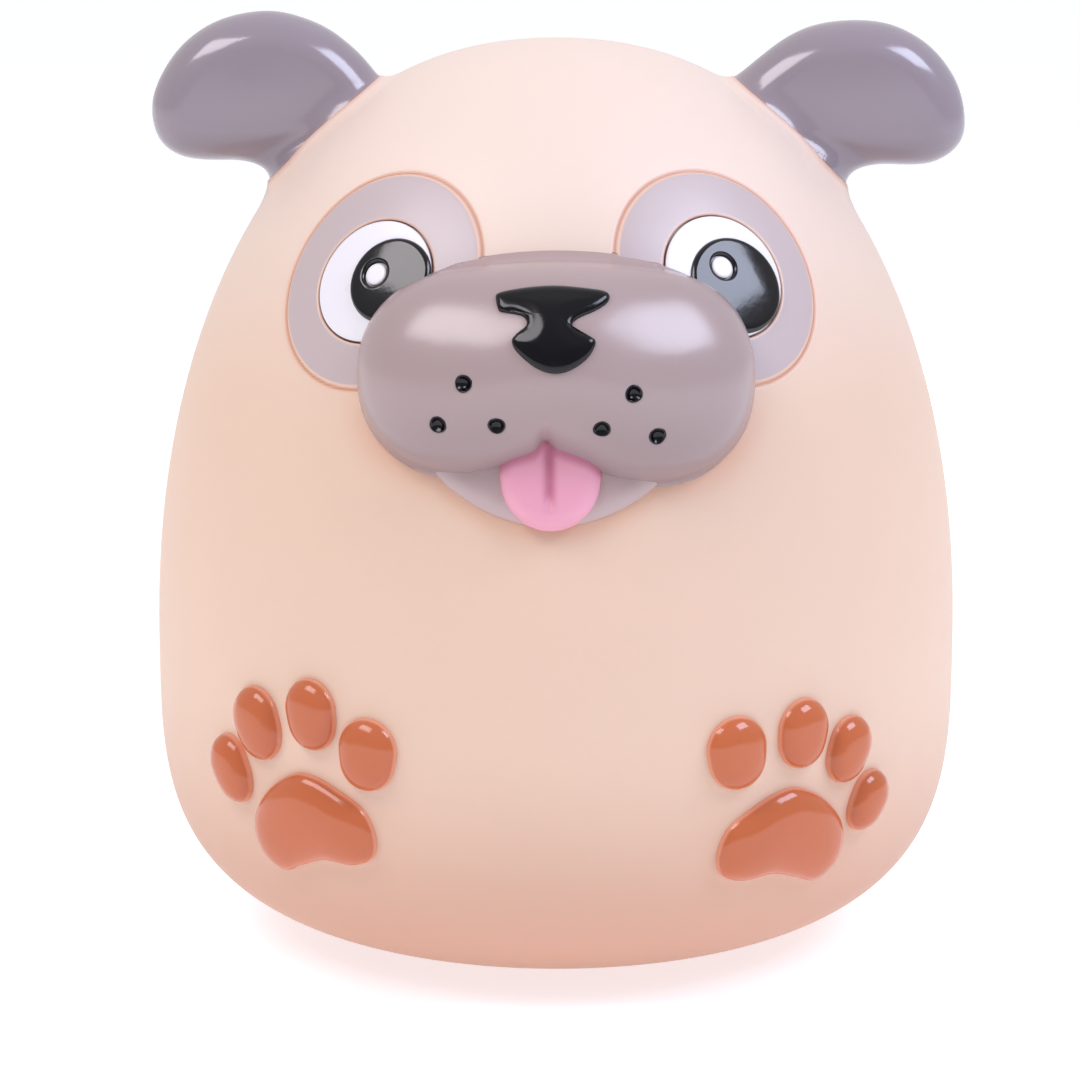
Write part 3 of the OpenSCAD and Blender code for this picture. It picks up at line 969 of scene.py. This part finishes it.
def build_muzzle():
    """The muzzle's skin, with pits for the whisker spots and a seat for the nose."""
    dirs, faces = cube_sphere(110)
    centre = np.array([0.0, -63.5, 106.0])
    t = cast_from(centre, dirs, muzzle_field, reach=45.0)
    p = relax(centre + dirs * t[:, None], faces, muzzle_field)
    n = gradient(muzzle_field, p)
    n /= np.maximum(np.linalg.norm(n, axis=1, keepdims=True), 1e-9)
    nose = np.where(p[:, 1] < -64, -NOSE(p[:, 0], p[:, 2]), -9)
    sink = pit(p) + 0.5 * smooth_step(nose, 0.3, 0.8)
    p = p - n * sink[:, None]
    overspray_and_shade = 0.45 * smooth_step(-body_field(p), -0.7, -0.15) * smooth_step(muzzle_bulge(p), 0.0, 0.8)
    # Painted shade: the muzzle grows darker towards its lower half
    low = smooth_step(-p[:, 2], -108, -92)
    return make_mesh("muzzle_bulge", p, faces, {"overspray_and_shade": overspray_and_shade, "low": low})


place(build_muzzle(), muzzle_mat, "muzzle")


def build_spots(side):
    """Black cups set into the whisker pits."""
    verts, faces = [], []
    cols = 32
    ang = np.arange(cols) / cols * TAU
    # (radius, height) from the middle of the cup over its lip and underneath
    prof = [(0.35, -0.72), (0.7, -0.55), (0.95, -0.3), (1.15, -0.04), (1.27, 0.07), (1.38, 0.02),
            (1.42, -0.2), (1.3, -1.3), (0.6, -1.4)]
    for c, n in SPOTS[side]:
        a = np.cross(n, [0, 0, 1.0])
        a /= np.linalg.norm(a)
        b = np.cross(n, a)
        base = len(verts)
        verts.append(c + n * -0.76)
        for r, h in prof:
            for t in ang:
                wobble = 1 + 0.04 * math.sin(3 * t + c[0])
                verts.append(c + n * h + (a * math.cos(t) + b * math.sin(t)) * r * wobble)
        last = len(verts)
        verts.append(c + n * -1.42)
        faces += fan(base, base + 1, cols)
        faces += [f[::-1] for f in grid_faces(len(prof), cols, start=base + 1)]
        faces += [f[::-1] for f in fan(last, last - cols, cols)]
    return make_mesh(f"whisker_spots_{side}_cups", verts, faces)


for side in WHISKERS:
    place(build_spots(side), nose_mat, f"whisker_spots_{side}")


def nose_height(d, *_):
    """Rounded edge, with wings and tip fuller than the waist between them."""
    return dome(d, 0.85, 1.1) - 0.06 + 0.25 * smooth_step(d, 0.8, 3.2)


nose = inlay("nose_black", on_muzzle, NOSE, (-0.9, 117.3), nose_height, cols=160, rows=24,
             depth=1.0)
place(nose, nose_mat, "nose")

# ---- chin and tongue ------------------------------------------------------------------


def on_front(x, z):
    """Front of the body straight behind (x, z), and its normal."""
    y = -np.sqrt(np.clip(radius_at(z) ** 2 - x ** 2, 1, None))
    p = np.stack([x, y, z], -1)
    return p, body_normal(p)


chin = inlay("lower_lip_chin", on_front, chin_shape, (-1.0, 92.0), bead(1.5, 3.2, -0.04),
             cols=128, rows=20)
place(chin, chin_lightened_mat, "lower_lip")

TONGUE = joined(2.0, capsule(-1.1, 97.0, -1.1, 90.6, 7.3, 7.6),
                capsule(-1.1, 90.6, -1.1, 89.6, 7.2, 6.9))


# The tongue's groove is a little left of its middle
TONGUE_X = -1.25


def tongue_height(d, u, v):
    """Fat little slab with a groove that runs out before the tip."""
    x = u - TONGUE_X
    body = 1.35 + dome(d, 2.7, 3.0)
    groove = 1.15 * np.exp(-(x / 0.85) ** 2) * smooth_step(v, 84.2, 88.5)
    sides = 0.35 * (1 - (x / 7.6) ** 2)
    return np.where(d > 0, body - groove + sides * smooth_step(d, 0, 2), 1.2)


tongue = inlay("tongue_pink", on_front, TONGUE, (-1.1, 90.0), tongue_height, cols=128, rows=30,
               depth=-0.6)
points = np.array([v.co for v in tongue.data.vertices]) / MM
layer = tongue.data.attributes.new("overspray_and_shade", "FLOAT", "POINT")
# Painted shade: the pink darkens along the groove and where the tongue tucks under the muzzle
tint = 0.55 * np.exp(-((points[:, 0] - TONGUE_X) / 0.8) ** 2) * smooth_step(points[:, 2], 85, 90)
tint = np.maximum(tint, 0.6 * smooth_step(-muzzle_bulge(points), -1.6, -0.2))
layer.data.foreach_set("value", tint.astype(np.float32))
place(tongue, tongue_mat, "tongue")

# ---- eyes -----------------------------------------------------------------------------

for side, eye in EYES.items():
    on_skin = eye["site"].on_skin
    wu, wv, wr = eye["white"]
    pu, pv, pr = eye["pupil"]
    gu, gv = eye["glint"]
    patch = inlay(f"eye_patch_{side}_disc", on_skin, eye["patch"], (wu, wv), bead(0.34, 0.35, -0.2),
                  cols=160, rows=22, depth=0.75, inner=circle(wu, wv, wr + 0.22),
                  inner_height=bead(0.34, 0.3, -0.2))
    place(patch, patch_mat, f"eye_patch_{side}")
    white = inlay(f"eye_white_{side}_disc", on_skin, circle(wu, wv, wr), (wu, wv),
                  bead(0.5, 0.4, -0.2), cols=128, rows=20, depth=0.75)
    place(white, white_mat, f"eye_white_{side}")
    black = cut(0.3, circle(pu, pv, pr), lambda u, v: wr - 0.05 - np.hypot(u - wu, v - wv))
    pupil = inlay(f"pupil_{side}_bead", on_skin, black, (gu, gv), bead(0.85, 0.9, 0.2),
                  cols=144, rows=26, depth=0.3, inner=circle(gu, gv, 2.05),
                  inner_height=bead(0.85, 0.55, 0.2))
    place(pupil, pupil_mat, f"pupil_{side}")
    glint = inlay(f"eye_glint_{side}_dot", on_skin, circle(gu, gv, 1.97), (gu, gv),
                  bead(0.45, 0.5, 0.3), cols=64, rows=10, depth=0.2)
    place(glint, white_mat, f"eye_glint_{side}")

# ---- paws -----------------------------------------------------------------------------

for name, site, shape, edge in TOES:
    toe = inlay(f"{name}_bead", site.on_skin, shape, (0.0, 0.0), bead(3.1, edge, 0.05),
                cols=80, rows=20, depth=0.4, even=12)
    place(toe, pad_mat, name)
for side, paw in PAWS.items():
    site, shape = paw["pad"]
    pad = inlay(f"paw_{side}_pad_bead", site.on_skin, shape, (0.0, 0.6), bead(3.3, 6.2, 0.05),
                cols=144, rows=28, depth=0.4, even=30)
    place(pad, pad_mat, f"paw_{side}_pad")

# ---- ears -----------------------------------------------------------------------------

for side, sign in (("left", -1), ("right", 1)):
    dirs, faces = cube_sphere(72)
    field = ear_field(sign)
    centre = np.array([sign * 48.5, 0.0, 147.0])
    t = cast_from(centre, dirs, field, reach=45.0)
    p = relax(centre + dirs * t[:, None], faces, field)
    overspray_and_shade = 0.4 * smooth_step(-body_field(p), -1.6, -1.25)
    # Painted shade: the ear is darker towards its lower edge
    low = smooth_step(-p[:, 2], -146, -132)
    ear = make_mesh(f"ear_{side}_flap", p, faces, {"overspray_and_shade": overspray_and_shade, "low": low})
    place(ear, ear_mat, f"ear_{side}")

# ---- stopper --------------------------------------------------------------------------

# From the middle of the cup's ceiling down its inside, round the flange and up the shank
verts, faces = lathe(rounded_profile([
    (0, 9.6, 0), (14.6, 9.6, 0.8), (14.9, 1.75, 0.4), (20.95, 1.75, 0.5), (20.95, 3.65, 0.5),
    (16.9, 3.7, 0.4), (16.9, 12.6, 1.2), (0, 12.6, 0)]))
stopper = make_mesh("stopper_cup", verts, faces)
place(stopper, plug_mat, "stopper", body="stopper")

# A bar across the cup to pull it by: four rings (height, half thickness), ends closed
GRIP_X = 14.95
verts = [(x, y, z) for z, half in ((2.1, 1.1), (2.5, 1.4), (6.6, 1.4), (6.9, 1.1))
         for x, y in ((-GRIP_X, -half), (GRIP_X, -half), (GRIP_X, half), (-GRIP_X, half))]
faces = grid_faces(4, 4) + [(3, 2, 1, 0), (12, 13, 14, 15)]
grip = make_mesh("stopper_grip", verts, faces, smooth=False)
grip.data.materials.append(plug_mat)
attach(grip, "stopper")

# ---- floor, light, camera -------------------------------------------------------------

floor_mat = bpy.data.materials.new("floor_white")
floor_mat.use_nodes = True
floor_shader = floor_mat.node_tree.nodes["Principled BSDF"]
floor_shader.inputs["Base Color"].default_value = (0.68, 0.65, 0.66, 1)
floor_shader.inputs["Roughness"].default_value = 0.6
floor_shader.inputs["Emission Color"].default_value = (0.89, 0.945, 1, 1)
floor_shader.inputs["Emission Strength"].default_value = 0.63
bpy.ops.mesh.primitive_plane_add(size=8, location=(0, 0, -0.0002))
floor = bpy.context.object
floor.name = "floor"
floor.data.materials.append(floor_mat)

world = bpy.data.worlds.new("studio")
bpy.context.scene.world = world
world.use_nodes = True
wn, wl = world.node_tree.nodes, world.node_tree.links
sky = wn["Background"]
# Brightness of the room, what is added behind and above the bank, and the camera's backdrop
ROOM, BEHIND, ABOVE, PAPER = 0.23, 0.60, 0.18, 1.05


def world_math(operation, a, b):
    m = wn.new("ShaderNodeMath")
    m.operation = operation
    for sock, val in zip(m.inputs, (a, b)):
        if isinstance(val, float):
            sock.default_value = val
        else:
            wl.new(val, sock)
    return m.outputs[0]


# A white studio: brightest behind and above the bank, dimmer in front, white to the camera
way = wn.new("ShaderNodeTexCoord")
split = wn.new("ShaderNodeSeparateXYZ")
wl.new(way.outputs["Generated"], split.inputs[0])
behind = world_math("MULTIPLY_ADD", split.outputs[1], 0.5)
behind.node.inputs[2].default_value = 0.5
above = world_math("MAXIMUM", split.outputs[2], 0.0)
glow = world_math("ADD", world_math("MULTIPLY", world_math("POWER", behind, 2.0), BEHIND),
                  world_math("MULTIPLY", above, ABOVE))
room = world_math("ADD", glow, ROOM)
seen = wn.new("ShaderNodeLightPath").outputs["Is Camera Ray"]
wl.new(world_math("MAXIMUM", room, world_math("MULTIPLY", seen, PAPER)), sky.inputs["Strength"])
sky.inputs["Color"].default_value = (1.0, 0.995, 1.0, 1)


def soft_box(name, azimuth, elevation, near, distance, width, height, radiance, colour):
    """Rectangular lamp seen in a direction from a point, in degrees and metres."""
    a, e = math.radians(azimuth), math.radians(elevation)
    light = bpy.data.lights.new(name, "AREA")
    light.shape = "RECTANGLE"
    light.size = width
    light.size_y = height
    light.energy = radiance * math.pi * width * height
    light.color = colour
    lamp = bpy.data.objects.new(name, light)
    out = Vector((math.sin(a) * math.cos(e), -math.cos(a) * math.cos(e), math.sin(e)))
    lamp.location = Vector(near) + out * distance
    lamp.rotation_euler = (-out).to_track_quat("-Z", "Y").to_euler()
    bpy.context.scene.collection.objects.link(lamp)


# Each is placed by its reflection in one cheek
soft_box("box_left", -55.5, 49.5, (-0.034, -0.058, 0.12), 0.9, 0.60, 0.34, 6.3, (1.0, 0.95, 0.98))
soft_box("box_right", 66, 45.5, (0.035, -0.057, 0.12), 0.9, 0.50, 0.38, 7.9, (0.82, 0.89, 1.12))

CAMERA_AT = Vector((-0.0028, -0.6894, 0.2016))
CAMERA_TO = Vector((-0.0028, 0.0, 0.0678))
lens = bpy.data.cameras.new("camera")
lens.sensor_width = 36
lens.lens = 132.7
camera = bpy.data.objects.new("camera", lens)
bpy.context.scene.collection.objects.link(camera)
camera.location = CAMERA_AT
camera.rotation_euler = (CAMERA_TO - CAMERA_AT).to_track_quat("-Z", "Y").to_euler()
bpy.context.scene.camera = camera

bpy.context.scene.view_settings.view_transform = "Standard"
bpy.context.scene.view_settings.look = "None"
bpy.context.scene.view_settings.exposure = 0.0
